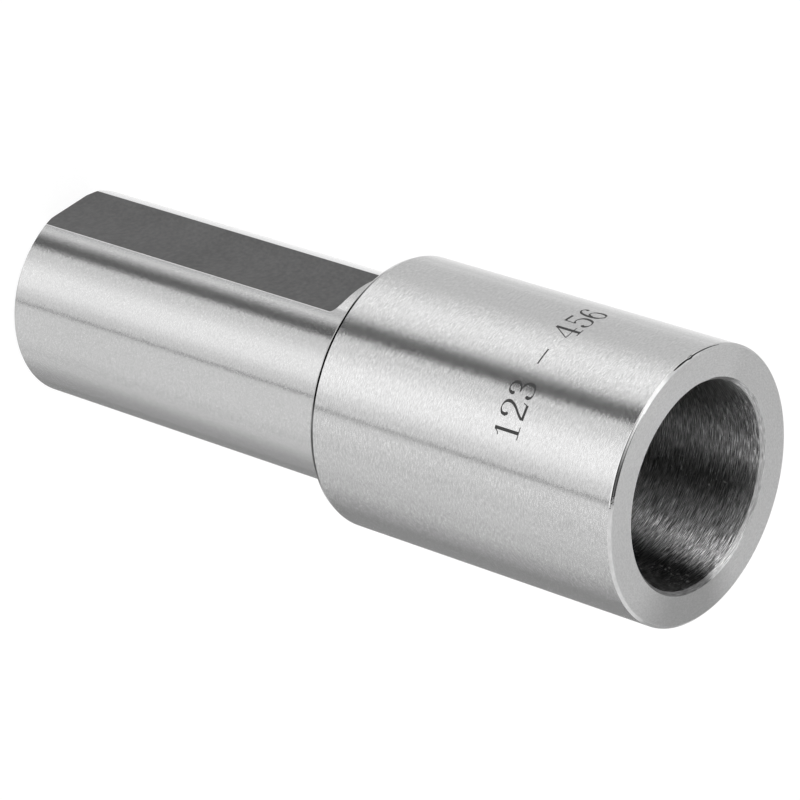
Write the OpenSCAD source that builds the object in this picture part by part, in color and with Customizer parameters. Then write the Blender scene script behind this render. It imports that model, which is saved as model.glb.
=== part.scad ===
// Straight-shank sleeve with a self-holding taper socket.
// One turned and ground piece that stands on its shank end, with the socket's mouth up.
// Origin: centre of the shank's end face. +Z runs along the axis to the mouth.
// The clamping flat faces -Y.

/* [Shank] */
// Diameter of the round shank
shank_d = 25; // [24.6:0.1:30]
// Length of the shank, from its end face to the head
shank_l = 50; // [48:0.5:60]
// Chamfer around the shank's end face
shank_chamfer = 0.5; // [0.2:0.05:1]
// Radius left in the corner between the shank and the head
root_r = 0.4; // [0.2:0.05:1]

/* [Clamping flat] */
// Depth of the flat below the round of the shank
flat_depth = 0.85; // [0.4:0.05:1]
// Length of the flat, from the shank's end face to its end wall
flat_l = 45.8; // [30:0.1:47]
// Radius that the cutter leaves between the flat and its end wall
flat_r = 0.8; // [0.2:0.05:1]

/* [Head] */
// Diameter of the head
head_d = 32; // [28:0.5:45]
// Length of the head, from the shoulder to the mouth face
head_l = 42; // [36:0.5:60]
// Chamfer around the mouth face
mouth_chamfer = 0.25; // [0.1:0.05:1]
// Width of the chamfer around the shoulder, across the shoulder's face
shoulder_chamfer = 0.2; // [0.1:0.05:1]
// Length of the chamfer around the shoulder, along the head
shoulder_chamfer_l = 0.45; // [0.1:0.05:1]

/* [Taper socket] */
// Diameter of the socket where it meets the mouth face
socket_d = 23.825; // [23:0.005:24.2]
// Length over which the socket narrows by one millimetre of diameter
taper_run = 19.922; // [19:0.001:20.1]
// Depth of the tapered wall, from the mouth face
socket_depth = 76; // [70:0.5:80]
// Width of the chamfer around the socket's mouth, across the mouth face
socket_chamfer = 0.35; // [0.1:0.05:1]
// Depth of the chamfer around the socket's mouth, along the axis
socket_chamfer_l = 0.5; // [0.1:0.05:1]

/* [Tang slot] */
// Thickness of the tang that the slot holds
tang_t = 7.9; // [6:0.1:9]
// Play of the tang in the slot, on each side
tang_play = 0.2; // [0.1:0.05:0.5]
// Step between the socket's floor edge and each rounded end of the slot
slot_step = 0.2; // [0.1:0.05:0.6]
// Chamfer around the slot in the shank's end face
slot_chamfer = 0.3; // [0.1:0.05:0.6]

/* [Hidden] */
$fn = 144;
// Overlap of a cut past the face that it opens
over = 1;
total_l = shank_l + head_l;
shank_rad = shank_d / 2;
head_rad = head_d / 2;
mouth_rad = socket_d / 2;
floor_z = total_l - socket_depth;
floor_rad = (socket_d - socket_depth / taper_run) / 2;
flat_y = shank_rad - flat_depth;
// The run-out radius can't be larger than the flat is deep
run_out_r = min(flat_r, flat_depth);
slot_w = tang_t + 2 * tang_play;
slot_end_x = floor_rad - slot_step - slot_w / 2;

// Radius of the tapered wall at a height above the shank's end face.
function socket_rad(z) = (socket_d - (total_l - z) / taper_run) / 2;

// Outer form of the shank and head, turned in one revolve that starts at the middle of the flat.
module turned_blank() {
    rotate([0, 0, -90])
        rotate_extrude()
            polygon([
                [0, 0],
                [shank_rad - shank_chamfer, 0],
                [shank_rad, shank_chamfer],
                [shank_rad, shank_l],
                [head_rad - shoulder_chamfer, shank_l],
                [head_rad, shank_l + shoulder_chamfer_l],
                [head_rad, total_l - mouth_chamfer],
                [head_rad - mouth_chamfer, total_l],
                [0, total_l]
            ]);
}

// Quarter-round of metal left in the corner under the head.
module root_radius() {
    translate([0, 0, shank_l - root_r])
        difference() {
            cylinder(r = shank_rad + root_r, h = root_r);
            rotate_extrude()
                translate([shank_rad + root_r, 0])
                    circle(r = root_r);
        }
}

// Tapered socket with a broken edge at its mouth.
module taper_socket() {
    chamfer_z = total_l - socket_chamfer_l;
    rotate_extrude()
        polygon([
            [0, floor_z],
            [floor_rad, floor_z],
            [socket_rad(chamfer_z), chamfer_z],
            [mouth_rad + socket_chamfer, total_l],
            [mouth_rad + socket_chamfer, total_l + over],
            [0, total_l + over]
        ]);
}

// Slot with rounded ends that takes the tang, open through the shank's end face.
module tang_slot() {
    depth = floor_z + 2 * over;
    flare = slot_w / 2 + slot_chamfer;
    for (side = [-1, 1])
        translate([side * slot_end_x, 0, 0]) {
            translate([0, 0, -over])
                cylinder(d = slot_w, h = depth);
            translate([0, 0, -over])
                cylinder(r1 = flare + over, r2 = slot_w / 2, h = slot_chamfer + over);
        }
    translate([-slot_end_x, -slot_w / 2, -over])
        cube([2 * slot_end_x, slot_w, depth]);
    translate([-slot_end_x, 0, 0])
        rotate([90, 0, 90])
            linear_extrude(height = 2 * slot_end_x)
                polygon([
                    [-flare - over, -over],
                    [flare + over, -over],
                    [slot_w / 2, slot_chamfer],
                    [-slot_w / 2, slot_chamfer]
                ]);
}

// Milled flat for the clamping screws, with the cutter's radius at its end wall.
module clamping_flat() {
    width = 2 * (shank_rad + over);
    reach = flat_depth + over;
    translate([-width / 2, -flat_y - reach, -over])
        cube([width, reach, flat_l - run_out_r + over]);
    translate([-width / 2, -flat_y - reach, 0])
        cube([width, reach - run_out_r, flat_l]);
    translate([-width / 2, -flat_y - run_out_r, flat_l - run_out_r])
        rotate([0, 90, 0])
            cylinder(r = run_out_r, h = width);
}

module sleeve() {
    color("silver")
        difference() {
            union() {
                turned_blank();
                root_radius();
            }
            taper_socket();
            tang_slot();
            clamping_flat();
        }
}

sleeve();
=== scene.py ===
"""Looks of a straight-shank taper sleeve: a turned and ground piece of steel.

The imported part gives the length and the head's diameter, and the other sizes repeat its own values. The
sleeve is drawn again as one closed skin with a fine mesh, softened edges and a finish for each of its faces,
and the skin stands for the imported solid. Sizes are metres where a docstring doesn't say otherwise.
"""
import logging
import math
from dataclasses import dataclass, field
from enum import Enum
from functools import cache, reduce

import bpy
import numpy as np
from bpy.types import Material, Node, NodeOutputs, NodeSocket, NodeTree, Object, World
from mathutils import Matrix, Vector


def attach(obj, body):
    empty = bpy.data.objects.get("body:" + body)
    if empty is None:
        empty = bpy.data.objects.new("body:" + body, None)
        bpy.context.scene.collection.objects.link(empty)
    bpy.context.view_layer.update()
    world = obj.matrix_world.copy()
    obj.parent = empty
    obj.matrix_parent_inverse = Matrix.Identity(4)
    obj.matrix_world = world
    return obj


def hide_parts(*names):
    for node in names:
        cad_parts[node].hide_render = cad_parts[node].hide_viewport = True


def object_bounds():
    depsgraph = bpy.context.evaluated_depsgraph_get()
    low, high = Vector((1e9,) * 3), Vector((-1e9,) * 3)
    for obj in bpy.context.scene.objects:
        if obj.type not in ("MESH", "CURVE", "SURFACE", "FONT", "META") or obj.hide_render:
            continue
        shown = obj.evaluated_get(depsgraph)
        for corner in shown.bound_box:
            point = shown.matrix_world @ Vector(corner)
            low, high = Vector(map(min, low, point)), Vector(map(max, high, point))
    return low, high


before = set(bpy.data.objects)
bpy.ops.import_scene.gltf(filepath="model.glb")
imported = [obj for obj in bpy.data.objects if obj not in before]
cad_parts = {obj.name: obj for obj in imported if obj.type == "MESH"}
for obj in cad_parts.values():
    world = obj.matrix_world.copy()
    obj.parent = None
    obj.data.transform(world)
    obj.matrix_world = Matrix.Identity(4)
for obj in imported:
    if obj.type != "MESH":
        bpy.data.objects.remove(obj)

Array = np.ndarray
LOG = logging.getLogger("sleeve")
MM = 0.001
# How far a step outwards moves the scratch pattern along the axis, and how much its lines slant across x.
RING_SPREAD = 1.7
LINE_SLANT = 0.035
# Detail and roughness of the scratch noise, its middle level, and the step to a second noise.
LINE_NOISE = (2.0, 0.6)
NOISE_MIDDLE = 0.5
SECOND_NOISE = (17.3, 5.1, 9.7)
# Waves per metre of the slow patches and of the dust.
CLOUD_SCALE = 110.0
DUST_SCALE = 3200.0
# Heights where the painted shade deep in the socket goes over to its tone, and its tone to the painted light
# at its mouth.
DEEP_SHADE_SPAN = (66 * MM, 76 * MM)
MOUTH_LIGHT_SPAN = (89.4 * MM, 91.2 * MM)
# Noise levels where a speck of dust starts and is full.
SPECK_SPAN = (0.72, 0.75)
# Gain of the grain in the tone's logarithm and in the roughness, and the turn that lays gloss along rings.
TONE_GAIN = 2
ROUGH_GAIN = 0.3
GLOSS_TURN = 0.25
# Place of the support points beside a softened edge, in widths of its bevel.
SUPPORT = 2.5
CAD_BOX = [list(corner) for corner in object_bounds()]
HEAD_R = (CAD_BOX[1][0] - CAD_BOX[0][0]) / 2
TOTAL_L = CAD_BOX[1][2] - CAD_BOX[0][2]


class Face(Enum):
    """The faces of the sleeve that differ in finish, in the order of the skin's material slots."""

    ROUND = 0
    FLAT = 1
    RIM = 2
    BROKEN_EDGE = 3
    SOCKET = 4
    SOCKET_EDGE = 5
    FLOOR = 6
    SLOT = 7
    END = 8
    SHANK = 9
    SHOULDER_EDGE = 10
    MOUTH_EDGE = 11
    FLAT_EDGE = 12


# Nodes

@dataclass
class Sheet:
    """A node tree of a material, world or group, with short calls that add, set and link nodes."""

    tree: NodeTree

    @classmethod
    def fresh(cls, owner: Material | World) -> "Sheet":
        """Empties the node tree of a material or world.

        Args:
            owner: the material or world.

        Returns:
            The sheet of its tree.
        """
        owner.use_nodes = True
        owner.node_tree.nodes.clear()
        return cls(owner.node_tree)

    def add(self, kind: str, inputs: dict | None = None, **settings: object) -> Node:
        """Adds a node, sets its properties, and fills or links its inputs.

        Args:
            kind: the node's type name without its ShaderNode prefix.
            inputs: input name or index to a value or to an output socket.
            settings: the node's own properties.

        Returns:
            The new node.
        """
        prefix = "" if kind.startswith("NodeGroup") else "ShaderNode"
        node = self.tree.nodes.new(prefix + kind)
        for name, value in settings.items():
            setattr(node, name, value)
        for name, value in (inputs or {}).items():
            if isinstance(value, NodeSocket):
                self.tree.links.new(value, node.inputs[name])
            else:
                node.inputs[name].default_value = value
        return node

    def math(self, operation: str, *values: object) -> NodeSocket:
        """Adds a Math node and returns its result."""
        return self.add("Math", dict(enumerate(values)), operation=operation).outputs[0]

    def vector(self, operation: str, *values: object) -> NodeSocket:
        """Adds a Vector Math node and returns its vector result."""
        return self.add("VectorMath", dict(enumerate(values)), operation=operation).outputs[0]

    def scaled(self, vector: object, scale: object) -> NodeSocket:
        """Adds a Vector Math node that multiplies a vector by a number, and returns the result."""
        return self.add("VectorMath", {0: vector, "Scale": scale}, operation="SCALE").outputs[0]

    def parts(self, vector: object) -> NodeOutputs:
        """Adds a Separate XYZ node and returns its x, y and z."""
        return self.add("SeparateXYZ", {0: vector}).outputs

    def whole(self, *values: object) -> NodeSocket:
        """Adds a Combine XYZ node and returns its vector, with zero for each part that isn't given."""
        return self.add("CombineXYZ", dict(enumerate(values))).outputs[0]

    def mix(self, share: object, low: object, high: object) -> NodeSocket:
        """Adds a Mix node and returns low + share x (high - low)."""
        return self.add("Mix", {0: share, 2: low, 3: high}, data_type="FLOAT").outputs[0]

    def heading(self, x: object, y: object) -> NodeSocket:
        """Returns the direction round the axis in degrees, the arc tangent of y over x."""
        return self.math("DEGREES", self.math("ARCTAN2", y, x))

    def noise(self, place: object, scale: float, detail: float, roughness: float = 0.5) -> NodeSocket:
        """Adds a Noise Texture node and returns its value, which is 0.5 in the mean."""
        inputs = {"Vector": place, "Scale": scale, "Detail": detail, "Roughness": roughness}
        return self.add("TexNoise", inputs).outputs[0]

    def product(self, *values: object) -> NodeSocket:
        """Multiplies values and sockets, from the first to the last."""
        return reduce(lambda done, value: self.math("MULTIPLY", done, value), values)

    def spread(self, value: object, low: object, high: object, out_low: float,
               out_high: float) -> NodeSocket:
        """Maps a value from the range low to high to the range out_low to out_high, with smooth ends."""
        inputs = {0: value, 1: low, 2: high, 3: out_low, 4: out_high}
        return self.add("MapRange", inputs, interpolation_type="SMOOTHSTEP").outputs[0]


class GroupMaker:
    """Builds each shared node group once, when it is first asked for."""

    @staticmethod
    def blank(name: str, inputs: dict[str, float | None],
              outputs: dict[str, str]) -> tuple[Sheet, NodeOutputs]:
        """Starts a group with named inputs and typed outputs.

        Args:
            name: the group's name.
            inputs: input name to default value, or to None for a vector.
            outputs: output name to socket type.

        Returns:
            The sheet to fill and the sockets that the group is given.
        """
        tree = bpy.data.node_groups.new(name, "ShaderNodeTree")
        for key, value in inputs.items():
            kind = "NodeSocketVector" if value is None else "NodeSocketFloat"
            socket = tree.interface.new_socket(key, in_out="INPUT", socket_type=kind)
            if value is not None:
                socket.default_value = value
        for key, kind in outputs.items():
            tree.interface.new_socket(key, in_out="OUTPUT", socket_type=kind)
        sheet = Sheet(tree)
        return sheet, sheet.add("NodeGroupInput").outputs

    @staticmethod
    @cache
    def grind_lines() -> NodeTree:
        """Short scratches that run round the turning axis.

        The pattern is smooth noise of (x / length, y / length, (z + spread r + slant x) / width), in
        millimetres. It changes slowly round the axis and fast along it, has no seam, and gives rings on a
        face where z is constant.

        Returns:
            The group, with a mask of the scratches and a normal that they tilt.
        """
        values = {"Place": None, "Length": 1.4, "Width": 0.15, "Seed": 0.0, "Turn": 0.03, "Lean": 0.03}
        outputs = {"Mask": "NodeSocketFloat", "Normal": "NodeSocketVector"}
        sheet, given = GroupMaker.blank("grind_lines", values, outputs)
        x, y, z = sheet.parts(sheet.scaled(given["Place"], 1 / MM))
        radius = sheet.math("SQRT", sheet.math("ADD", sheet.product(x, x), sheet.product(y, y)))
        across = sheet.math("ADD", z, sheet.product(radius, RING_SPREAD))
        across = sheet.math("ADD", across, sheet.product(x, LINE_SLANT))
        spot = sheet.whole(sheet.math("DIVIDE", x, given["Length"]), sheet.math("DIVIDE", y, given["Length"]),
                           sheet.math("DIVIDE", across, given["Width"]))
        spot = sheet.vector("ADD", spot, sheet.whole(given["Seed"]))
        mask, swing = (sheet.math("SUBTRACT", sheet.noise(start, 1.0, *LINE_NOISE), NOISE_MIDDLE)
                       for start in (spot, sheet.vector("ADD", spot, SECOND_NOISE)))
        round_way = sheet.vector("NORMALIZE", sheet.whole(sheet.product(y, -1.0), x))
        turned = sheet.scaled(round_way, sheet.product(swing, given["Turn"]))
        leant = sheet.scaled((0.0, 0.0, 1.0), sheet.product(mask, given["Lean"]))
        normal = sheet.add("NewGeometry").outputs["Normal"]
        normal = sheet.vector("NORMALIZE", sheet.vector("ADD", sheet.vector("ADD", normal, turned), leant))
        sheet.add("NodeGroupOutput", {"Mask": mask, "Normal": normal})
        return sheet.tree

    @staticmethod
    @cache
    def cloud_wash() -> NodeTree:
        """Slow light and dark patches: share = 1 + depth x (2 noise - 1).

        Returns:
            The group, with the share of the tone that is left.
        """
        values = {"Place": None, "Depth": 0.02}
        sheet, given = GroupMaker.blank("cloud_wash", values, {"Share": "NodeSocketFloat"})
        even = sheet.math("MULTIPLY_ADD", sheet.noise(given["Place"], CLOUD_SCALE, 1.0), 2.0, -1.0)
        sheet.add("NodeGroupOutput", {"Share": sheet.math("MULTIPLY_ADD", even, given["Depth"], 1.0)})
        return sheet.tree

    @staticmethod
    @cache
    def arc_share() -> NodeTree:
        """Share left in an arc of headings: 1 - density x step up at its start x step down at its end.

        Returns:
            The group, with the share, from 1 - density to 1.
        """
        values = {"Heading": 0.0, "Middle": 0.0, "Half": 10.0, "Fade In": 5.0, "Fade Out": 5.0,
                  "Density": 0.5}
        sheet, given = GroupMaker.blank("arc_share", values, {"Share": "NodeSocketFloat"})
        off = sheet.math("WRAP", sheet.math("SUBTRACT", given["Heading"], given["Middle"]), 180.0, -180.0)
        low_end = sheet.product(given["Half"], -1.0)
        rise = sheet.spread(off, sheet.math("SUBTRACT", low_end, given["Fade In"]), low_end, 0.0, 1.0)
        fall = sheet.spread(off, given["Half"], sheet.math("ADD", given["Half"], given["Fade Out"]), 1.0, 0.0)
        taken = sheet.product(rise, fall, given["Density"])
        sheet.add("NodeGroupOutput", {"Share": sheet.math("SUBTRACT", 1.0, taken)})
        return sheet.tree


# Finishes

@dataclass(frozen=True)
class Arc:
    """A span of directions round an axis, in degrees, with soft ends, that takes light away in the world, and
    tone on a finish, where it paints shade.

    A density of 1 takes all of it, and a negative density adds, which on a finish paints light.
    """

    name: str
    start: float
    end: float
    fade_in: float
    fade_out: float
    density: float

    def shade(self, sheet: Sheet, heading: NodeSocket) -> NodeSocket:
        """Places the arc group and returns the share that is left at a heading, from 1 - density to 1."""
        return sheet.add("Group", {
            "Heading": heading, "Middle": (self.start + self.end) / 2, "Half": (self.end - self.start) / 2,
            "Fade In": self.fade_in, "Fade Out": self.fade_out, "Density": self.density},
            node_tree=GroupMaker.arc_share(), label=self.name).outputs["Share"]


@dataclass(frozen=True)
class SteelFinish:
    """One finish of the steel. Length and width are those of its scratches, in millimetres."""

    name: str
    tone: float
    roughness: float
    anisotropy: float = 0.0
    grain: float = 0.2
    length: float = 1.4
    width: float = 0.15
    turn: float = 0.03
    lean: float = 0.03
    seed: float = 0.0
    metallic: float = 1.0
    # painted shade that darkens the deep socket, and painted light that lightens its mouth
    painted_deep_shade: float = 1.0
    painted_mouth_light: float = 0.0
    specular: float = 0.5
    cloud: float = 0.0
    dust: float = 0.0
    arcs: tuple[Arc, ...] = ()

    def tone_shares(self, sheet: Sheet, place: NodeSocket) -> list[object]:
        """Adds what changes the tone over the surface: painted shade deep in the socket, painted light at its
        mouth, patches, and arcs that paint light and shade.

        Args:
            sheet: the material's sheet.
            place: the Object coordinates.

        Returns:
            The tone and its shares, to be multiplied.
        """
        x, y, z = sheet.parts(place)
        shares: list[object] = [self.tone]
        # painted shade deep in the socket, and painted light at its mouth
        if self.painted_deep_shade < 1:
            shares.append(sheet.spread(z, *DEEP_SHADE_SPAN, self.painted_deep_shade, 1.0))
        if self.painted_mouth_light:
            shares.append(sheet.spread(z, *MOUTH_LIGHT_SPAN, 1.0, 1.0 + self.painted_mouth_light))
        if self.cloud:
            inputs = {"Place": place, "Depth": self.cloud}
            shares.append(sheet.add("Group", inputs, node_tree=GroupMaker.cloud_wash()).outputs["Share"])
        # the arcs paint light and shade into the tone by heading round the axis
        if self.arcs:
            heading = sheet.heading(x, y)
            shares += [arc.shade(sheet, heading) for arc in self.arcs]
        return shares

    def material(self) -> Material:
        """Builds the finish as a material.

        Its tone is exp(gain x grain x mask) x the tone and its shares.

        Returns:
            The material, with a scratched colour, roughness and normal.
        """
        material = bpy.data.materials.new(self.name)
        sheet = Sheet.fresh(material)
        place = sheet.add("TexCoord").outputs["Object"]
        lines = sheet.add("Group", {
            "Place": place, "Length": self.length, "Width": self.width, "Seed": self.seed,
            "Turn": self.turn, "Lean": self.lean}, node_tree=GroupMaker.grind_lines()).outputs
        bright = sheet.math("EXPONENT", sheet.product(lines["Mask"], self.grain * TONE_GAIN))
        tone = sheet.product(bright, *self.tone_shares(sheet, place))
        metal: object = self.metallic
        if self.dust:
            specks = sheet.spread(sheet.noise(place, DUST_SCALE, 0.0), *SPECK_SPAN, 0.0, 1.0)
            tone = sheet.mix(specks, tone, self.dust)
            metal = sheet.math("SUBTRACT", self.metallic, specks)
        colour = sheet.add("CombineColor", {0: tone, 1: tone, 2: tone}).outputs[0]
        rough = sheet.math("MULTIPLY_ADD", lines["Mask"], self.roughness * ROUGH_GAIN, self.roughness)
        inputs = {"Base Color": colour, "Roughness": rough, "Metallic": metal,
                  "Specular IOR Level": self.specular, "Normal": lines["Normal"]}
        if self.anisotropy:
            tangent = sheet.add("Tangent", direction_type="RADIAL", axis="Z").outputs[0]
            inputs |= {"Anisotropic": self.anisotropy, "Anisotropic Rotation": GLOSS_TURN, "Tangent": tangent}
        shader = sheet.add("BsdfPrincipled", inputs)
        sheet.add("OutputMaterial", {0: shader.outputs[0]})
        return material


# Each arc is a name, a start, an end, the fades at both, and a density. On a finish an arc paints shade, and
# one with a negative density paints light.
# on the matte mouth chamfer: a painted highlight, a darker band along the long burr, and painted shade at its
# foot and far side
MOUTH_ARCS = (
    Arc("painted_highlight", -74, -60, 6, 12, -0.6),
    Arc("long_burr", -34, -28, 17, 9, 0.82),
    Arc("foot", 46, 64, 12, 10, 0.45),
    Arc("far_side", -172, -102, 15, 6, 0.2),
)

# painted shade on the rim's low side, and a little painted light on its high side
RIM_ARCS = (
    Arc("low_side", 63, 84, 40, 27, 0.36),
    Arc("high_side", -123, -50, 10, 60, -0.08),
)

# on the matte inner chamfer: painted shade at its top and foot, and painted highlights at its left and foot
SOCKET_EDGE_ARCS = (
    Arc("top", -127, -111, 14, 7, 0.65),
    Arc("bright_left", -75, 5, 15, 8, -1.0),
    Arc("dark_foot", 22, 87, 12, 8, 0.64),
    Arc("bright_foot", 100, 118, 8, 16, -0.62),
)

# painted shade on the unlit side of the socket's wall
SOCKET_ARCS = (
    Arc("unlit", 54, 88, 12, 6, 0.35),
)

# painted shade in three bands round the head
ROUND_ARCS = (
    Arc("back_side", -127, -112, 5, 5, 0.2),
    Arc("under_strip", -8, 3, 10, 8, 0.11),
    Arc("low_side", 28, 45, 8, 8, 0.12),
)

# painted shade beside the flat, and painted light on the low side and behind the flat
SHANK_ARCS = (
    Arc("beside_flat", -71, -68.5, 2, 4, 0.3),
    Arc("low_side", 12, 27, 9, 6, -0.17),
    Arc("behind_flat", -145, -112, 20, 4, -0.2),
)

# painted shade: the dark line where the head meets the shank, softer to one side, and a painted light line
SHOULDER_ARCS = (
    Arc("deep_line", -64, -28, 30, 24, 0.995),
    Arc("soft_line", -10, 4, 12, 16, 0.82),
    Arc("light_line", -140, -95, 6, 8, -0.45),
)

FINISHES = {
    Face.ROUND: SteelFinish(
        "ground_head", tone=0.86, roughness=0.175, anisotropy=0.94, grain=0.32, length=0.5,
        width=0.13, turn=0.075, lean=0.1, cloud=0.02, arcs=ROUND_ARCS),
    Face.SHANK: SteelFinish(
        "ground_shank", tone=0.82, roughness=0.17, anisotropy=0.94, grain=0.2, length=0.3,
        width=0.13, turn=0.085, lean=0.1, seed=90.0, cloud=0.02, arcs=SHANK_ARCS),
    Face.FLAT: SteelFinish(
        "dark_flat", tone=0.16, roughness=0.5, grain=0.35, length=0.5, width=0.5, turn=0.02,
        lean=0.02, cloud=0.12),
    Face.RIM: SteelFinish(
        "faced_rim", tone=0.62, roughness=0.42, anisotropy=0.5, grain=0.28, metallic=0.35, length=0.3,
        width=0.3, turn=0.02, lean=0.02, cloud=0.03, arcs=RIM_ARCS),
    Face.BROKEN_EDGE: SteelFinish("broken_edge", tone=0.85, roughness=0.2, grain=0.3, turn=0.1, lean=0.2),
    # a matte chamfer; its arcs paint its highlight and shade
    Face.MOUTH_EDGE: SteelFinish(
        "mouth_edge", tone=0.6, roughness=0.5, grain=0.2, metallic=0.0, specular=0.0, length=0.8,
        width=0.2, arcs=MOUTH_ARCS),
    # a matte chamfer; its arcs paint the line of shade where the head meets the shank
    Face.SHOULDER_EDGE: SteelFinish(
        "shoulder_edge", tone=0.45, roughness=0.6, grain=0.1, metallic=0.0, specular=0.0, arcs=SHOULDER_ARCS),
    # the socket's tone is darkened deep down and lightened at its mouth: painted shade and painted light
    Face.SOCKET: SteelFinish(
        "ground_socket", tone=0.21, roughness=0.34, anisotropy=1.0, grain=2.9, length=1.25,
        width=0.06, turn=0.055, lean=0.6, seed=40.0, painted_deep_shade=0.25, painted_mouth_light=0.25, dust=0.2,
        arcs=SOCKET_ARCS),
    # a matte chamfer; its arcs paint its highlights and shade
    Face.SOCKET_EDGE: SteelFinish(
        "socket_edge", tone=0.44, roughness=0.6, grain=1.2, metallic=0.0, specular=0.0, length=1.2,
        width=0.14, turn=0.1, lean=0.1, arcs=SOCKET_EDGE_ARCS),
    # light and matte: a painted highlight along the flat's two edges
    Face.FLAT_EDGE: SteelFinish(
        "flat_edge", tone=0.7, roughness=0.6, grain=0.3, metallic=0.0, specular=0.0),
    Face.FLOOR: SteelFinish("socket_floor", tone=0.5, roughness=0.4),
    Face.SLOT: SteelFinish("slot_wall", tone=0.45, roughness=0.5),
    Face.END: SteelFinish("faced_end", tone=0.7, roughness=0.35, grain=0.08),
}
ETCHED = SteelFinish("etched", tone=0.035, roughness=0.6, grain=0.3, metallic=0.3)
NICKED = SteelFinish("nicked", tone=0.012, roughness=0.7, metallic=0.0, specular=0.0)
# a light matte finish for bars that paint a highlight
PAINTED_GLINT = SteelFinish("painted_glint", tone=0.95, roughness=0.6, metallic=0.0, specular=0.0)
EDGES = (Face.MOUTH_EDGE, Face.SOCKET_EDGE, Face.SHOULDER_EDGE)


# Meshes

def piece_from(name: str, points: Array, faces: Array, smooth: bool = True) -> Object:
    """Makes a mesh object at the origin from arrays of points and four-sided faces.

    Args:
        name: the piece's name.
        points: n by 3 array of places, in metres.
        faces: m by 4 array of point numbers, anticlockwise from outside.
        smooth: whether its faces are shaded as one round surface.

    Returns:
        The object, linked into the scene.
    """
    mesh = bpy.data.meshes.new(name)
    mesh.vertices.add(len(points))
    mesh.vertices.foreach_set("co", points.astype(np.float32).ravel())
    mesh.loops.add(faces.size)
    mesh.loops.foreach_set("vertex_index", faces.astype(np.int32).ravel())
    mesh.polygons.add(len(faces))
    mesh.polygons.foreach_set("loop_start", np.arange(0, faces.size, faces.shape[1], dtype=np.int32))
    mesh.polygons.foreach_set("use_smooth", np.full(len(faces), smooth, dtype=bool))
    mesh.update(calc_edges=True)
    mesh.validate()
    piece = bpy.data.objects.new(name, mesh)
    bpy.context.scene.collection.objects.link(piece)
    return piece


def round_axis(radius: Array, turn: Array, height: Array) -> Array:
    """Places at a radius, a direction and a height: (r cos, r sin, z)."""
    return np.stack([radius * np.cos(turn), radius * np.sin(turn), height], axis=-1)


def quads(behind: Array, ahead: Array) -> Array:
    """Faces between rings of point numbers and the rings ahead, each from one column to the next."""
    return np.stack([behind, np.roll(behind, -1, axis=1), np.roll(ahead, -1, axis=1), ahead], axis=-1)


class BarSet:
    """Thin closed bars with four corners in each section, gathered into one piece."""

    def __init__(self) -> None:
        """Starts without bars."""
        self.points: list[Array] = []
        self.faces: list[Array] = []
        self.slots: list[Array] = []

    def add(self, sections: Array, slot: int = 0) -> None:
        """Adds a bar: walls from each section to the next, and a cap on each end.

        Args:
            sections: sections by 4 by 3 array of corners, anticlockwise as seen from the bar's far end.
            slot: the material slot of its faces.
        """
        number = np.arange(4 * len(sections)).reshape(-1, 4) + sum(len(points) for points in self.points)
        walls = quads(number[:-1], number[1:]).reshape(-1, 4)
        self.points.append(sections.reshape(-1, 3))
        self.faces.append(np.vstack([walls, number[0, ::-1], number[-1]]))
        self.slots.append(np.full(len(self.faces[-1]), slot, dtype=np.int32))

    def piece(self, name: str, *finishes: SteelFinish) -> Object:
        """Makes the bars one piece and dresses it.

        Args:
            name: the piece's name.
            finishes: the finish of each material slot.

        Returns:
            The piece, with flat faces.
        """
        piece = piece_from(name, np.vstack(self.points), np.vstack(self.faces), smooth=False)
        for finish in finishes:
            piece.data.materials.append(finish.material())
        piece.data.polygons.foreach_set("material_index", np.concatenate(self.slots))
        return piece


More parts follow.
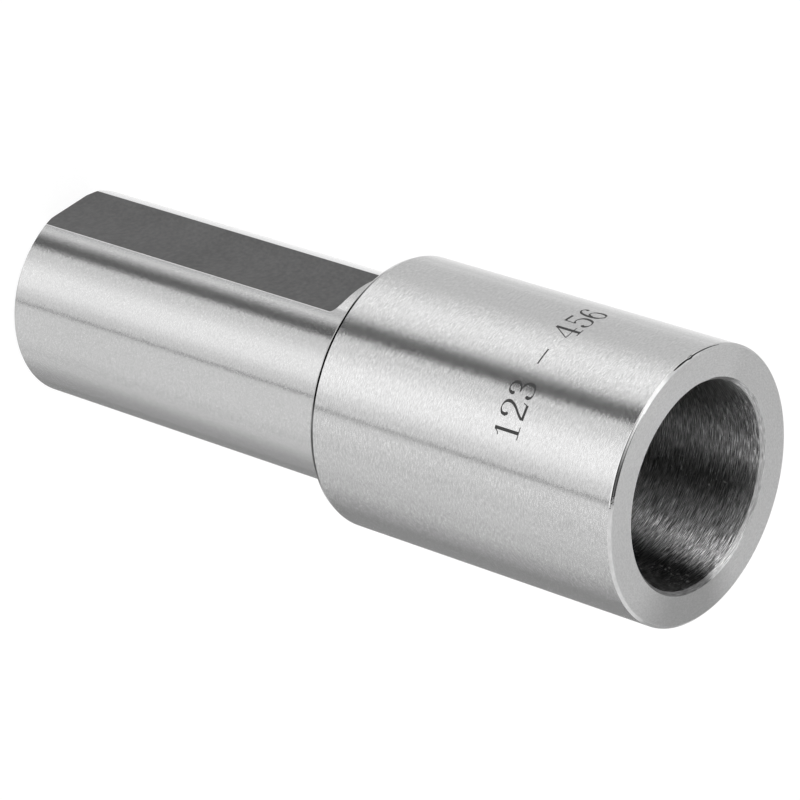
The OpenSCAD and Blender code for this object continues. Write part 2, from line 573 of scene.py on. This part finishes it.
@dataclass
class Net:
    """Rings of points round the axis that join into one closed skin. Angles start at the flat's middle.

    Where the flat cuts a ring, its columns as far as spread past the flat's edge are drawn together, so that
    the same ones always lie on its two edges. The flat's plane counts as far as reach to both sides.
    """

    edge: float
    nick: float
    flat_columns: int
    step: float
    spread: float = math.radians(15)
    reach: float = 1.2
    rings: list[tuple[Array, float, Array, Face]] = field(default_factory=list)

    def __post_init__(self) -> None:
        """Places the columns of an uncut ring: those of one half from the flat to the back, then both."""
        self.knots = self.places(self.edge)
        inside = np.linspace(0, self.knots[1], self.flat_columns)
        outside = np.arange(self.knots[4], math.pi, self.step)
        half = np.concatenate([inside, self.knots[2:4], outside])
        self.base = np.append(np.concatenate([-half[:0:-1], half]), math.pi)

    def places(self, edge: float) -> Array:
        """Angles of the flat's middle, its edge's bevel and supports, the end of the spread, and the back."""
        support = SUPPORT * self.nick
        return np.array([0, edge - support, edge - self.nick, edge + self.nick, edge + support,
                         self.edge + self.spread, math.pi])

    def columns(self, edge: float) -> Array:
        """Column angles of a ring whose flat ends at the given angle."""
        return np.sign(self.base) * np.interp(np.abs(self.base), self.knots, self.places(edge))

    def cut(self, radius: float, limit: float) -> tuple[Array, Array]:
        """Radii, min(round, flat / cos(angle)), and angles of a ring that the flat cuts at limit."""
        angle = self.columns(math.acos(limit / radius))
        return np.minimum(radius, limit / np.cos(np.clip(angle, -self.reach, self.reach))), angle

    def put(self, radius: Array | float, z: float, face: Face, angle: Array | None = None) -> None:
        """Adds one ring, with the face that follows it, and its columns' angles where it isn't uncut."""
        angle = self.base if angle is None else angle
        self.rings.append((np.broadcast_to(radius, self.base.shape), z, angle, face))

    def put_cut(self, radius: float, z: float, face: Face, limit: float) -> None:
        """Adds one ring that the flat cuts at limit, its distance from the axis."""
        radii, angle = self.cut(radius, limit)
        self.put(radii, z, face, angle)

    def arrays(self) -> tuple[Array, Array, Array]:
        """Joins each ring to the next, and the last to the first.

        Returns:
            Places, point numbers and face values: rings by columns arrays of 3, 4 and 1.
        """
        radius, angle = (np.array([ring[k] for ring in self.rings]) for k in (0, 2))
        height = np.broadcast_to(np.array([ring[1] for ring in self.rings])[:, None], radius.shape)
        number = np.arange(radius.size).reshape(radius.shape)
        kinds = np.repeat(np.array([ring[3].value for ring in self.rings]), radius.shape[1])
        return (round_axis(radius, angle - math.pi / 2, height), quads(number, np.roll(number, -1, axis=0)),
                kinds.reshape(radius.shape))


# The sleeve

@dataclass
class Sleeve:
    """The whole turned piece as one closed skin: rings round the axis, and columns along the profile.

    The first sizes are the part's own. From soft on they say how the skin is drawn: the width of its bevels,
    how near two places count as one, and where its rings and columns lie.
    """

    total_l: float = TOTAL_L
    head_r: float = HEAD_R
    shank_r: float = 12.5 * MM
    shank_l: float = 50 * MM
    flat_y: float = 11.65 * MM
    flat_l: float = 45.8 * MM
    flat_r: float = 0.8 * MM
    shank_chamfer: float = 0.5 * MM
    root_r: float = 0.4 * MM
    shoulder_chamfer: float = 0.2 * MM
    shoulder_chamfer_l: float = 0.45 * MM
    mouth_chamfer: float = 0.25 * MM
    socket_r: float = 11.9125 * MM
    taper_run: float = 19.922
    socket_depth: float = 76 * MM
    socket_chamfer: float = 0.35 * MM
    socket_chamfer_l: float = 0.5 * MM
    slot_half_w: float = 4.15 * MM
    slot_step: float = 0.2 * MM
    slot_chamfer: float = 0.3 * MM
    soft: float = 0.04 * MM
    near: float = 0.0001 * MM
    least_sine: float = 1e-9
    flat_columns: int = 24
    column_step: float = math.radians(1.5)
    ring_step: float = 3 * MM
    first_flat_ring: float = 1.2 * MM
    flat_rings: int = 16
    run_out_rings: int = 9
    shares_above_flat: tuple[float, ...] = (0.005, 0.025, 0.3, 0.6, 1)
    root_gap: float = 0.4 * MM
    root_rings: int = 6
    shoulder_start: float = 0.1 * MM
    shoulder_middle: tuple[float, float] = (0.48, 0.52)
    floor_share: float = 0.65
    slot_rings: int = 6
    end_shares: tuple[float, ...] = (0.02, 0.05, 0.25, 0.5, 0.75, 0.95, 0.98)

    @property
    def floor_z(self) -> float:
        """Height of the socket's floor."""
        return self.total_l - self.socket_depth

    def socket_rad(self, z: float) -> float:
        """Radius of the tapered wall at a height: mouth radius less the depth over twice the taper run."""
        return self.socket_r - (self.total_l - z) / (2 * self.taper_run)

    def softened(self, corners: list[tuple[float, float, Face]]) -> list[tuple[float, float, Face]]:
        """Turns a profile's corners into narrow bevels, with support points that keep the shading crisp.

        Args:
            corners: (radius, height, face that starts at the corner) in order along the profile.

        Returns:
            Points in the same form, with a bevel at each inner corner and more along the long straights.
        """
        spots = np.array([(r, z) for r, z, _ in corners])
        kinds = [kind for _, _, kind in corners]
        out: list[tuple[float, float, Face]] = [corners[0]]
        for i in range(1, len(spots)):
            start, end = spots[i - 1], spots[i]
            run = np.linalg.norm(end - start)
            way = (end - start) / run
            first = SUPPORT * self.soft if i > 1 else 0.0
            last = SUPPORT * self.soft if i < len(spots) - 1 else 0.0
            if i > 1:
                kept = kinds[i - 2] if kinds[i - 2] is Face.SHOULDER_EDGE else kinds[i - 1]
                out.append((*(start + way * self.soft), kept))
                out.append((*(start + way * first), kinds[i - 1]))
            steps = max(1, int((run - first - last) / self.ring_step))
            for share in np.linspace(0, 1, steps + 1)[1:-1]:
                out.append((*(start + way * (first + share * (run - first - last))), kinds[i - 1]))
            if i < len(spots) - 1:
                out.append((*(end - way * last), kinds[i - 1]))
                out.append((*(end - way * self.soft), kinds[i] if kinds[i] in EDGES else kinds[i - 1]))
            else:
                out.append((*end, kinds[i - 1]))
        return out

    def slot_outline(self, angle: Array, grow: float = 0.0) -> Array:
        """Distance from the axis to the slot's round-ended outline, in each direction.

        On the straight sides it is half width / |sin|, and on the round ends it is the far root of the circle
        about the end's centre.

        Args:
            angle: direction from the flat's middle, in radians.
            grow: how far the outline is moved outwards.

        Returns:
            The distances, in metres.
        """
        half = self.slot_half_w + grow
        centre = self.socket_rad(self.floor_z) - self.slot_step - self.slot_half_w
        cos, sin = np.abs(np.cos(angle - math.pi / 2)), np.abs(np.sin(angle - math.pi / 2))
        side = half / np.maximum(sin, self.least_sine)
        on_end = side * cos > centre
        end = centre * cos + np.sqrt(np.maximum(half**2 - (centre * sin) ** 2, 0))
        return np.where(on_end, end, side)

    def shank_rings(self, net: Net) -> None:
        """Adds the shank's outside, from its end chamfer to the corner under the head.

        In the flat's run-out its distance from the axis grows by r (1 - cos) while the height grows by r sin.
        Above its end wall the columns go back to those of an uncut ring.

        Args:
            net: takes the rings.
        """
        r, c, soft = self.shank_r, self.shank_chamfer, self.soft
        # the end chamfer's own points lie in from its edges, so that a bevel softens each
        for radius, z, face in (
                (r - c + 1.5 * soft, 1.5 * soft, Face.BROKEN_EDGE),
                (r - c + 3 * soft, 3 * soft, Face.BROKEN_EDGE),
                (r - 2 * soft, c - 2 * soft, Face.BROKEN_EDGE),
                (r, c + soft, Face.SHANK),
                (r, c + SUPPORT * soft, Face.SHANK)):
            net.put_cut(radius, z, face, self.flat_y)
        for z in np.linspace(self.first_flat_ring, self.flat_l - self.flat_r, self.flat_rings):
            net.put_cut(r, z, Face.SHANK, self.flat_y)
        for turn in np.linspace(0, math.pi / 2, self.run_out_rings + 1)[1:]:
            z = self.flat_l - self.flat_r * (1 - math.sin(turn))
            net.put_cut(r, z, Face.SHANK, self.flat_y + self.flat_r * (1 - math.cos(turn)))
        wall = math.acos((self.flat_y + self.flat_r) / r)
        for share in self.shares_above_flat:
            z = self.flat_l + share * (self.shank_l - self.root_r - self.flat_l - self.root_gap)
            net.put(r, z, Face.SHANK, net.columns(wall + share * (net.edge - wall)))
        for turn in np.linspace(0, math.pi / 2, self.root_rings):
            radius = r + self.root_r * (1 - math.cos(turn))
            net.put(radius, self.shank_l - self.root_r * (1 - math.sin(turn)), Face.END)

    def head_rings(self, net: Net) -> None:
        """Adds the profile from the shoulder over the head, rim and tapered wall to the socket's floor.

        Args:
            net: takes the rings.
        """
        r, s, length = self.head_r, self.shoulder_chamfer, self.shoulder_chamfer_l
        m, t, low = self.mouth_chamfer, self.total_l, self.shank_l
        across, along = self.shoulder_middle
        chamfer_z = t - self.socket_chamfer_l
        floor_r = self.socket_rad(self.floor_z)
        for radius, z, face in self.softened([
                (self.shank_r + self.root_r + self.shoulder_start, low, Face.END),
                (r - s, low, Face.ROUND),
                (r - across * s, low + along * length, Face.SHOULDER_EDGE),
                (r, low + length, Face.ROUND),
                (r, t - m, Face.MOUTH_EDGE),
                (r - m, t, Face.RIM),
                (self.socket_r + self.socket_chamfer, t, Face.SOCKET_EDGE),
                (self.socket_rad(chamfer_z), chamfer_z, Face.SOCKET),
                (floor_r, self.floor_z, Face.FLOOR),
                (floor_r - self.floor_share * self.slot_step, self.floor_z, Face.FLOOR)]):
            net.put(radius, z, face)

    def tang_rings(self, net: Net) -> None:
        """Adds the slot's wall from the socket's floor down, its chamfer, and the end face out to the shank.

        Each ring of the end face lies a share of the way from the slot's outline to the shank's.

        Args:
            net: takes the rings.
        """
        soft, c = self.soft, self.slot_chamfer
        inner = self.slot_outline(net.base)
        net.put(inner + soft, self.floor_z, Face.FLOOR)
        net.put(inner, self.floor_z - soft, Face.SLOT)
        for z in np.linspace(self.floor_z - 3 * soft, c + 3 * soft, self.slot_rings):
            net.put(inner, z, Face.SLOT)
        net.put(inner, c + soft, Face.SLOT)
        for grow, z in ((1.5 * soft, c - 1.5 * soft), (c - 1.5 * soft, 1.5 * soft)):
            net.put(self.slot_outline(net.base, grow), z, Face.BROKEN_EDGE)
        outline, rim_angle = net.cut(self.shank_r - self.shank_chamfer, self.flat_y)
        for share in self.end_shares:
            angle = net.base + (rim_angle - net.base) * share
            near = self.slot_outline(angle, c)
            net.put(near + (outline - near) * share, 0.0, Face.END, angle)

    def skin(self) -> Object:
        """Builds the closed skin. Rings run up the outside, down the socket and out of the slot.

        Returns:
            The piece, with a material slot for each face.
        """
        edge = math.acos(self.flat_y / self.shank_r)
        net = Net(edge, self.soft / self.shank_r, self.flat_columns // 2, self.column_step)
        self.shank_rings(net)
        self.head_rings(net)
        self.tang_rings(net)
        points, faces, kinds = net.arrays()
        self.mark_flat(points, kinds)
        points, faces, kinds = points.reshape(-1, 3), faces.reshape(-1, 4), kinds.ravel()
        piece = piece_from("sleeve_skin", points, faces)
        for face in Face:
            piece.data.materials.append(FINISHES[face].material())
        piece.data.polygons.foreach_set("material_index", kinds.astype(np.int32))
        self.smooth_shank(piece, points[faces], kinds == Face.SHANK.value)
        return piece

    def smooth_shank(self, piece: Object, corners: Array, on_shank: Array) -> None:
        """Gives the round of the shank its true normals, where the net's columns slant to follow the flat.

        A true normal points straight out from the axis. A corner with a zero normal keeps the smooth one.

        Args:
            piece: the skin.
            corners: faces by 4 by 3 array of its faces' corners.
            on_shank: which faces have the shank's finish.
        """
        radius = np.hypot(corners[..., 0], corners[..., 1])
        true = on_shank & (np.abs(radius - self.shank_r) < self.near).all(axis=1)
        normals = np.zeros(corners.shape)
        normals[true, :, :2] = corners[true, :, :2] / radius[true, :, None]
        piece.data.normals_split_custom_set(normals.reshape(-1, 3).tolist())

    def mark_flat(self, points: Array, kinds: Array) -> None:
        """Gives the flat and the narrow bevels along its two long edges their own finish.

        A face is numbered as its first corner. It is on the flat if all its corners are cut below the round
        or lie in the flat's plane, and on a bevel if it leads from a cut column to a round one.

        Args:
            points: rings by columns by 3 array of places.
            kinds: rings by columns array of face values, which takes the new ones.
        """
        x, y, z = np.moveaxis(points, -1, 0)
        below = z <= self.flat_l + self.near
        cut = below & (z > self.shank_chamfer) & (y < 0) & (np.hypot(x, y) < self.shank_r - self.near)
        flat = cut | below & (z > self.soft) & (np.abs(y + self.flat_y) < self.near)
        flat = flat & np.roll(flat, -1, axis=1)
        kinds[flat & np.roll(flat, -1, axis=0)] = Face.FLAT.value
        edge = cut ^ np.roll(cut, -1, axis=1)
        kinds[edge & np.roll(edge, -1, axis=0)] = Face.FLAT_EDGE.value


# The marking on the head

@dataclass(frozen=True)
class Stroke:
    """One pen stroke of a numeral: points on a smooth curve, in shares of the height from its left foot.

    A stroke without a weight is drawn as with a broad pen: upright parts are thick, level parts are thin. A
    disc runs level across its middle, and its weight is its radius.
    """

    points: tuple[tuple[float, float], ...]
    weight: float = 0.0
    disc: bool = False

    def curve(self, per_step: int = 10) -> Array:
        """Carries a smooth curve through the points.

        Each stretch is the cubic whose ends lean along the line between its neighbours.

        Args:
            per_step: curve points for each stretch.

        Returns:
            k by 2 array of places along the curve.
        """
        spots = np.array(self.points)
        if len(spots) == 2:
            return spots[0] + np.linspace(0, 1, per_step + 1)[:, None] * (spots[1] - spots[0])
        padded = np.vstack([2 * spots[0] - spots[1], spots, 2 * spots[-1] - spots[-2]])
        a, b, c, d = (padded[k:len(padded) - 3 + k][:, None, :] for k in range(4))
        t = np.linspace(0, 1, per_step, endpoint=False)[None, :, None]
        bend, twist = 2 * a - 5 * b + 4 * c - d, 3 * b - 3 * c + d - a
        cubic = 0.5 * (2 * b + (c - a) * t + bend * t**2 + twist * t**3)
        return np.vstack([cubic.reshape(-1, 2), spots[-1]])


def dot(x: float, y: float, radius: float = 0.058) -> Stroke:
    """Makes the round end of a stroke: a disc about (x, y), in shares of the numeral's height."""
    return Stroke(((x - radius, y), (x + radius, y)), weight=radius, disc=True)


# Width of the numerals' thin straight strokes, in shares of their height.
THIN = 0.035
NUMERALS: dict[str, tuple[Stroke, ...]] = {
    "1": (Stroke(((0.30, 0.97), (0.30, 0.02))),
          Stroke(((0.12, 0.80), (0.20, 0.84), (0.27, 0.95)), THIN),
          Stroke(((0.12, 0.015), (0.48, 0.015)), THIN)),
    "2": (Stroke(((0.09, 0.72), (0.13, 0.90), (0.28, 0.98), (0.44, 0.90), (0.48, 0.71), (0.38, 0.48),
                  (0.20, 0.26), (0.08, 0.09))),
          Stroke(((0.06, 0.05), (0.49, 0.05)), 0.095),
          Stroke(((0.48, 0.05), (0.53, 0.21)), THIN), dot(0.125, 0.71)),
    "3": (Stroke(((0.10, 0.78), (0.16, 0.93), (0.28, 0.98), (0.42, 0.90), (0.44, 0.72), (0.36, 0.59),
                  (0.21, 0.54))),
          Stroke(((0.21, 0.54), (0.39, 0.50), (0.49, 0.32), (0.44, 0.10), (0.28, 0.015), (0.13, 0.06),
                  (0.07, 0.20))), dot(0.125, 0.78), dot(0.10, 0.21)),
    "4": (Stroke(((0.37, 0.97), (0.04, 0.30)), THIN), Stroke(((0.04, 0.285), (0.54, 0.285)), THIN),
          Stroke(((0.37, 0.97), (0.37, 0.02))), Stroke(((0.22, 0.015), (0.52, 0.015)), THIN)),
    "5": (Stroke(((0.14, 0.95), (0.12, 0.53)), THIN), Stroke(((0.12, 0.935), (0.47, 0.935)), 0.085),
          Stroke(((0.12, 0.53), (0.20, 0.60), (0.32, 0.61), (0.46, 0.50), (0.49, 0.30), (0.42, 0.09),
                  (0.27, 0.015), (0.13, 0.06), (0.07, 0.20))), dot(0.10, 0.21)),
    "6": (Stroke(((0.47, 0.86), (0.41, 0.95), (0.30, 0.98), (0.14, 0.83), (0.07, 0.50), (0.11, 0.18),
                  (0.27, 0.015))),
          Stroke(((0.27, 0.015), (0.43, 0.09), (0.49, 0.30), (0.42, 0.52), (0.28, 0.59), (0.16, 0.52),
                  (0.09, 0.37))), dot(0.435, 0.85)),
}


@dataclass
class Marking:
    """Plain numerals round the head, dark as if etched: two groups with a dash between them.

    Places round the head are arc lengths from its -Y side towards +X. Stem, hair and least are widths in
    shares of the height, and the dash is dash_weight hairs wide.
    """

    text: str = "123"
    second_text: str = "456"
    foot_z: float = 78.35 * MM
    height: float = 3.35 * MM
    stretch: float = 1.2
    pitch: float = 2.4 * MM
    first_start: float = 15.8 * MM
    second_start: float = 2.2 * MM
    dash_start: float = 6.5 * MM
    dash_length: float = 2.2 * MM
    dash_weight: float = 1.6
    head_r: float = HEAD_R
    proud: float = 0.004 * MM
    sunk: float = 0.03 * MM
    stem: float = 0.112
    hair: float = 0.034
    least: float = 0.002
    swell: float = 1.6

    def half_width(self, stroke: Stroke, line: Array, way: Array) -> Array:
        """Half the stroke's width at each curve point.

        A disc's is sqrt(r^2 - t^2). A weighted stroke's is even. Else it grows from hair to stem with the
        share of the way that runs upright, to the power swell.

        Args:
            stroke: the stroke.
            line: its curve points.
            way: its unit directions.

        Returns:
            One half width for each point, in shares of the height.
        """
        if stroke.disc:
            off = line[:, 0] - line[:, 0].mean()
            return np.sqrt(np.maximum(stroke.weight**2 - off**2, 0)) + self.least
        if stroke.weight:
            return np.full(len(line), stroke.weight / 2)
        return (self.hair + (self.stem - self.hair) * np.abs(way[:, 1]) ** self.swell) / 2

    def ribbon(self, stroke: Stroke, start: float) -> Array:
        """Wraps one stroke on the head as a thin bar.

        A point (x, y) of the numeral lies at arc start - x height and at height foot_z - y height. Each
        section has four corners: half a width to both sides, at head_r + proud and at head_r - sunk.

        Args:
            stroke: the stroke.
            start: arc length of the numeral's left foot.

        Returns:
            Sections by 4 by 3 array of corners.
        """
        line = stroke.curve() * (self.stretch, 1.0)
        way = np.gradient(line, axis=0)
        way /= np.linalg.norm(way, axis=1, keepdims=True)
        side = np.stack([-way[:, 1], way[:, 0]], axis=-1) * self.half_width(stroke, line, way)[:, None]
        left, right = line + side, line - side
        flat = np.stack([left, right, right, left], axis=1) * self.height
        radius = self.head_r + np.array([self.proud, self.proud, -self.sunk, -self.sunk])[None, :]
        turn = (start - flat[..., 0]) / self.head_r - math.pi / 2
        return round_axis(radius, turn, self.foot_z - flat[..., 1])

    def numerals(self) -> Object:
        """Builds all numerals and the dash as one piece.

        Returns:
            The piece, dressed with the etched finish.
        """
        placed = [(NUMERALS[sign], start - k * self.pitch)
                  for text, start in ((self.text, self.first_start), (self.second_text, self.second_start))
                  for k, sign in enumerate(text)]
        dash_end = self.dash_length / self.height / self.stretch
        dash = Stroke(((0.0, 0.5), (dash_end, 0.5)), self.dash_weight * self.hair)
        bars = BarSet()
        for strokes, start in (*placed, ((dash,), self.dash_start)):
            for stroke in strokes:
                bars.add(self.ribbon(stroke, start))
        return bars.piece("numerals", ETCHED)


# Wear and a painted highlight on the mouth's edge

Knots = tuple[tuple[float, float, float], ...]


@dataclass
class Nicks:
    """Dark nicks and a painted highlight on the mouth's outer chamfer, each a thin closed bar along the edge.

    A bar's knots are its heading in degrees, its place across the chamfer from 0 at the head to 1 at the rim,
    and its width in millimetres. The short ones are drawn at random from spans of the same and of lengths in
    degrees.
    """

    head_r: float = HEAD_R
    total_l: float = TOTAL_L
    chamfer: float = 0.25 * MM
    proud: float = 0.004 * MM
    sunk: float = 0.02 * MM
    step: float = 0.4
    lines: tuple[Knots, ...] = (
        ((-112, 0.4, 0.04), (-104, 0.4, 0.1), (-97, 0.4, 0.13), (-94.5, 0.45, 0.17), (-93.2, 0.7, 0.2),
         (-92, 0.6, 0.18), (-91, 0.45, 0.16), (-87, 0.4, 0.2), (-82.5, 0.35, 0.1)),
        ((-94.8, 0.1, 0.04), (-93.8, 0.05, 0.07), (-91.6, 0.15, 0.05)),
        ((-62, 0.15, 0.02), (-52, 0.12, 0.05), (-38, 0.1, 0.06), (-24, 0.1, 0.08)),
        ((-60, 0.95, 0.02), (-50, 0.9, 0.05), (-38, 0.85, 0.06), (-26, 0.8, 0.08)),
    )
    # each glint is a light matte bar: a painted highlight beside the left nicks
    glints: tuple[Knots, ...] = (
        ((-52, -0.2, 0.03), (-44, -0.25, 0.08), (-26, -0.25, 0.1), (-21.5, -0.25, 0.05)),
    )
    seed: int = 11
    shorts: int = 16
    short_starts: tuple[float, float] = (-27.0, -21.0)
    short_lengths: tuple[float, float] = (0.2, 0.5)
    short_places: tuple[float, float] = (0.05, 0.95)
    short_widths: tuple[float, float] = (0.07, 0.13)

    def bar(self, knots: Array) -> Array:
        """Lays one bar along the edge, with corners half a width to both sides, proud and sunk.

        Place and width run straight from knot to knot. The chamfer lies at 45 degrees, so a step across it or
        out of it is shared evenly by the radius and the height.

        Args:
            knots: k by 3 array of heading, place and width.

        Returns:
            Sections by 4 by 3 array of corners.
        """
        count = max(3, int(abs(knots[-1, 0] - knots[0, 0]) / self.step))
        heading = np.linspace(knots[0, 0], knots[-1, 0], count)
        place = np.interp(heading, knots[:, 0], knots[:, 1])
        half = np.interp(heading, knots[:, 0], knots[:, 2]) * MM / 2
        across = np.stack([half, -half, -half, half], axis=1) / math.sqrt(2)
        out = np.array([self.proud, self.proud, -self.sunk, -self.sunk]) / math.sqrt(2)
        radius = self.head_r - self.chamfer * place[:, None] - across + out
        height = self.total_l - self.chamfer * (1 - place[:, None]) + across + out
        return round_axis(radius, np.radians(heading)[:, None], np.minimum(height, self.total_l))

    def piece(self) -> Object:
        """Builds the painted highlight, the long nicks, and the seeded short ones at the end of the left
        pair.

        Returns:
            The piece, dressed with the nicked finish and the light matte finish of the painted highlight.
        """
        rng = np.random.default_rng(self.seed)
        start, length, place, width = (rng.uniform(*span, self.shorts) for span in (
            self.short_starts, self.short_lengths, self.short_places, self.short_widths))
        shorts = np.moveaxis(np.array([(start, place, width), (start + length, place, width)]), -1, 0)
        bars = BarSet()
        for glint in self.glints:
            bars.add(self.bar(np.array(glint, dtype=float)), slot=1)
        for nick in (*self.lines, *shorts):
            bars.add(self.bar(np.array(nick, dtype=float)))
        return bars.piece("edge_nicks", NICKED, PAINTED_GLINT)


# The studio

@dataclass
class Studio:
    """White floor and surround, grey cards that draw the steel's dark bands, and the camera.

    The steel sees a low wall, a glow above it and a high window, which go over into each other between two
    heights of the ray's direction. Each is white behind cards that stand at azimuths in degrees.
    """

    camera_azimuth: float = 50.33
    camera_elevation: float = 36.41
    camera_roll: float = 107.82
    camera_distance: float = 474.34 * MM
    aim: tuple[float, float, float] = (0.61 * MM, 0.74 * MM, 50.17 * MM)
    lens: float = 187.39
    sensor: float = 36.0
    clip: tuple[float, float] = (0.01, 20.0)
    low_cards: tuple[Arc, ...] = (
        Arc("thin_strip", -6.4, -5.4, 0.7, 0.7, 1.0),
        Arc("wide_grey", -165, -138, 60, 26, 0.43),
        Arc("key_foot", -118, -88, 16, 16, 0.16),
        Arc("dark_strip", -78.4, -73.3, 13, 7, 0.87),
        Arc("strip_halo", -80, -66, 26, 26, 0.33),
        Arc("back_light", 145, 175, 10, 10, -0.2),
        Arc("key_shade", -50, -18, 20, 12, 0.07),
        Arc("side_grey", -8, 130, 22, 20, 0.34),
        Arc("side_dark", 95, 125, 62, 22, 0.57),
    )
    high_cards: tuple[Arc, ...] = (
        Arc("camera_side", -30, -6, 50, 4, 0.92),
        Arc("window_fall", 90, 140, 76, 10, 0.7),
    )
    black_side: Arc = Arc("black_side", 134, 231, 8, 6, 0.995)
    softbox: Arc = Arc("softbox", -112, -101, 5, 21, -7.0)
    glow_gap: Arc = Arc("glow_gap", -25, -6, 12, 4, 0.5)
    glow: float = 3.6
    window: float = 1.85
    wall_top: tuple[float, float] = (-0.08, 0.0)
    glow_top: tuple[float, float] = (0.14, 0.24)
    floor_half: float = 3.0
    floor_tone: float = 0.2
    floor_light: float = 0.84

    def camera(self) -> None:
        """Makes the camera from its azimuth, elevation, roll and distance from the aim point."""
        a, e = math.radians(self.camera_azimuth), math.radians(self.camera_elevation)
        back = Vector((math.sin(a) * math.cos(e), -math.cos(a) * math.cos(e), math.sin(e)))
        data = bpy.data.cameras.new("camera")
        data.lens = self.lens
        data.sensor_width = self.sensor
        data.clip_start, data.clip_end = self.clip
        camera = bpy.data.objects.new("camera", data)
        turn = (-back).to_track_quat("-Z", "Y").to_matrix()
        turn = turn @ Matrix.Rotation(math.radians(self.camera_roll), 3, "Z")
        place = Vector(self.aim) + back * self.camera_distance
        camera.matrix_world = Matrix.Translation(place) @ turn.to_4x4()
        bpy.context.scene.collection.objects.link(camera)
        bpy.context.scene.camera = camera

    def surround(self) -> None:
        """Lights the world: white to the camera, and white behind the grey cards to the steel.

        Each height's light is the product of what its cards leave, and the softbox is added to the window.
        """
        world = bpy.data.worlds.new("studio")
        bpy.context.scene.world = world
        sheet = Sheet.fresh(world)
        x, y, z = sheet.parts(sheet.add("TexCoord").outputs["Generated"])
        azimuth = sheet.heading(x, y)
        low = sheet.product(*(card.shade(sheet, azimuth) for card in self.low_cards))
        black = self.black_side.shade(sheet, azimuth)
        high = sheet.product(black, self.window, *(card.shade(sheet, azimuth) for card in self.high_cards))
        high = sheet.math("ADD", high, sheet.math("SUBTRACT", self.softbox.shade(sheet, azimuth), 1.0))
        glow = sheet.product(black, self.glow, self.glow_gap.shade(sheet, azimuth))
        upper = sheet.mix(sheet.spread(z, *self.glow_top, 0.0, 1.0), glow, high)
        light = sheet.mix(sheet.spread(z, *self.wall_top, 0.0, 1.0), low, upper)
        seen = sheet.mix(sheet.add("LightPath").outputs["Is Glossy Ray"], 1.0, light)
        back = sheet.add("Background", {0: (1, 1, 1, 1), 1: seen})
        sheet.add("OutputWorld", {0: back.outputs[0]})

    def floor(self) -> None:
        """Lays the white floor that the sleeve stands on."""
        half, tone = self.floor_half, self.floor_tone
        points = half * np.array([(-1, -1, 0), (1, -1, 0), (1, 1, 0), (-1, 1, 0)])
        floor = piece_from("studio_floor", points, np.array([[0, 1, 2, 3]]))
        material = bpy.data.materials.new("floor_white")
        sheet = Sheet.fresh(material)
        paper = sheet.add("BsdfDiffuse", {0: (tone, tone, tone, 1)})
        glow = sheet.add("Emission", {0: (1, 1, 1, 1), 1: self.floor_light})
        both = sheet.add("AddShader", {0: paper.outputs[0], 1: glow.outputs[0]})
        sheet.add("OutputMaterial", {0: both.outputs[0]})
        floor.data.materials.append(material)
        floor.visible_glossy = False


def main() -> None:
    """Builds the studio and the sleeve in order and logs each piece."""
    logging.basicConfig(level=logging.INFO, format="%(message)s")
    bpy.context.scene.view_settings.view_transform = "Standard"
    studio = Studio()
    studio.camera()
    studio.surround()
    studio.floor()
    sleeve, numerals, nicks = Sleeve().skin(), Marking().numerals(), Nicks().piece()
    for piece in (sleeve, numerals, nicks):
        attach(piece, "root")
        LOG.info("%s: %d points, %d faces", piece.name, len(piece.data.vertices), len(piece.data.polygons))
    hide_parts("sleeve")


if __name__ == "__main__":
    main()
